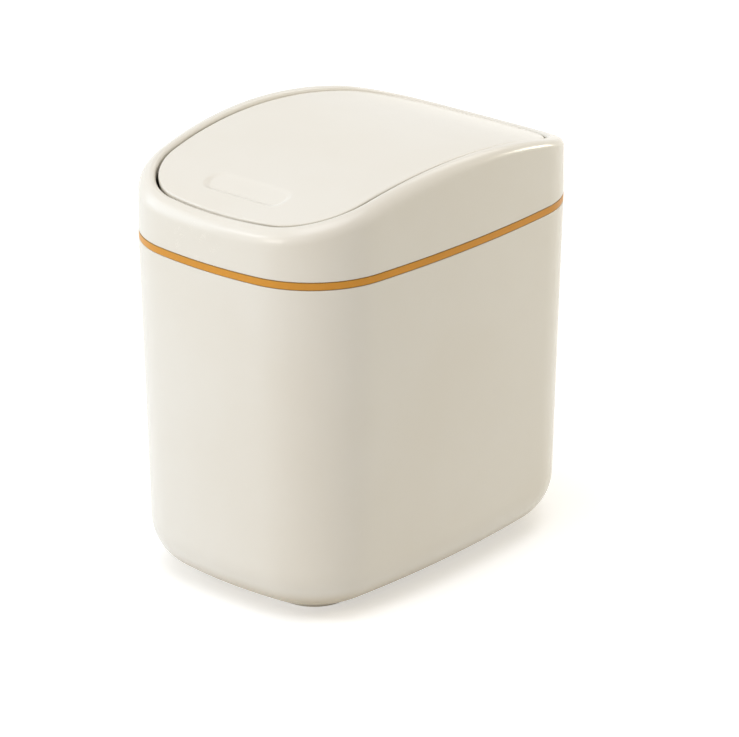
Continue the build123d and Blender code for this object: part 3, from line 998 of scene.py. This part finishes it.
# %% Floor and room
ROOM_LIGHT = (0.310, 0.275, 0.200, 1.0)
WHITE = (1.0, 1.0, 1.0, 1.0)
FLOOR_WHITE = (0.80, 0.80, 0.80, 1.0)
FLOOR_REACH = 4.0
FLOOR_GLOW = 0.48
FAR_GLOW = 0.34
LIT_TO = 0.35
UNLIT_FROM = 2.2


def seen(finish):
    """1 for rays from the camera, from a reflection or through glass, and 0 for the rest."""
    path = finish.node("ShaderNodeLightPath", {}, {})
    direct = path.maths("MAXIMUM", path.part("Is Camera Ray"), path.part("Is Glossy Ray"))
    return path.maths("MAXIMUM", direct, path.part("Is Transmission Ray"))


def lit_floor():
    """White that takes a shadow, with a glow that grows as the lamps' light fades with distance."""
    finish = Finish(bpy.data.materials.new("white_floor"))
    place = finish.place()
    away = finish.node("ShaderNodeVectorMath", {"operation": "LENGTH"}, {0: place}).part("Value")
    strength = FLOOR_GLOW + FAR_GLOW * finish.ramp(away, LIT_TO, UNLIT_FROM)
    matt = finish.node("ShaderNodeBsdfDiffuse", {}, {"Color": FLOOR_WHITE})
    glow = finish.node("ShaderNodeEmission", {}, {"Strength": strength * seen(finish)})
    both = finish.node("ShaderNodeAddShader", {}, {0: matt, 1: glow})
    finish.node("ShaderNodeOutputMaterial", {}, {"Surface": both})
    return finish.owner


floor_mesh = bpy.data.meshes.new("floor")
unit_square = ((-1, -1), (1, -1), (1, 1), (-1, 1))
floor_corners = [(x * FLOOR_REACH, y * FLOOR_REACH, 0.0) for x, y in unit_square]
floor_mesh.from_pydata(floor_corners, [], [(0, 1, 2, 3)])
floor = placed("floor", floor_mesh)
floor.data.materials.append(lit_floor())

world = bpy.data.worlds.new("white_room")
bpy.context.scene.world = world
room = Finish(world)
filling = room.node("ShaderNodeBackground", {}, {"Color": ROOM_LIGHT, "Strength": 1.0})
white = room.node("ShaderNodeBackground", {}, {"Color": WHITE, "Strength": 1.0})
shown = room.node("ShaderNodeMixShader", {}, {0: seen(room), 1: filling, 2: white})
room.node("ShaderNodeOutputWorld", {}, {"Surface": shown})
print("room light:", ROOM_LIGHT[:3])

# %% [markdown]
# Six softboxes. A wide one on the left and a smaller one in front light the end wall. The key, in
# front on the left, is small, so it draws the long highlight on the shoulder. One behind on the
# right only grazes the long side, which brightens towards the back. The one overhead does most for
# the lid, and the last looks over the can from behind and picks out the rolled edge of its side.
# The left one is bluish, the one behind on the right is warm and the others are nearly neutral,
# which sets the two walls apart as a window and a room do. All are soft, so no shadow has a hard
# edge.

# %% Lamps
LAMP_AIM = Vector((0.0, 0.0, 0.10))


def stand_at(made, place, aim):
    """Puts a lamp or a camera in its place and points it at its aim."""
    made.location = place
    made.rotation_euler = (aim - Vector(place)).to_track_quat("-Z", "Y").to_euler()


def softbox(name, place, side, watts, colour):
    """A square lamp that faces the can, with its side in metres."""
    lamp = bpy.data.lights.new(name, "AREA")
    lamp.shape = "RECTANGLE"
    lamp.size, lamp.size_y = side, side
    lamp.energy = watts
    lamp.color = colour
    stand_at(placed(name, lamp), place, LAMP_AIM)
    print(f"{name}: {watts} W at {place}")


softbox("key", (-1.1, -1.7, 1.5), side=0.5, watts=5.0, colour=(1.0, 1.0, 1.0))
softbox("left", (-2.1, -1.2, 1.0), side=1.8, watts=22.0, colour=(0.62, 0.80, 1.0))
softbox("front", (-0.3, -2.2, 0.9), side=0.8, watts=9.8, colour=(1.0, 0.94, 0.90))
softbox("rear", (0.9, 2.2, 0.6), side=0.5, watts=16.0, colour=(1.0, 0.95, 0.79))
softbox("overhead", (0.3, -0.5, 2.2), side=1.7, watts=24.3, colour=(0.90, 0.92, 1.0))
softbox("behind", (-0.35, 1.6, 1.75), side=0.9, watts=4.5, colour=(1.0, 1.0, 1.0))

# %% [markdown]
# The camera stands as for a catalogue picture: in front and to the right, looking down at the lid,
# with a long lens that keeps the upright walls nearly parallel.

# %% Camera
CAMERA_PLACE = Vector((0.87145, -0.98021, 0.59193))
CAMERA_AIM = Vector((0.00429, 0.00378, 0.07051))
FOCAL_LENGTH = 183.444  # in millimetres, as a camera counts it
SENSOR_WIDTH = 36.0

view = bpy.data.cameras.new("catalogue")
view.lens = FOCAL_LENGTH
view.sensor_width = SENSOR_WIDTH
view.sensor_fit = "HORIZONTAL"
camera = placed("catalogue", view)
stand_at(camera, CAMERA_PLACE, CAMERA_AIM)
bpy.context.scene.camera = camera
bpy.context.scene.view_settings.view_transform = "Standard"
print(f"camera {(CAMERA_PLACE - CAMERA_AIM).length:.2f} m away")
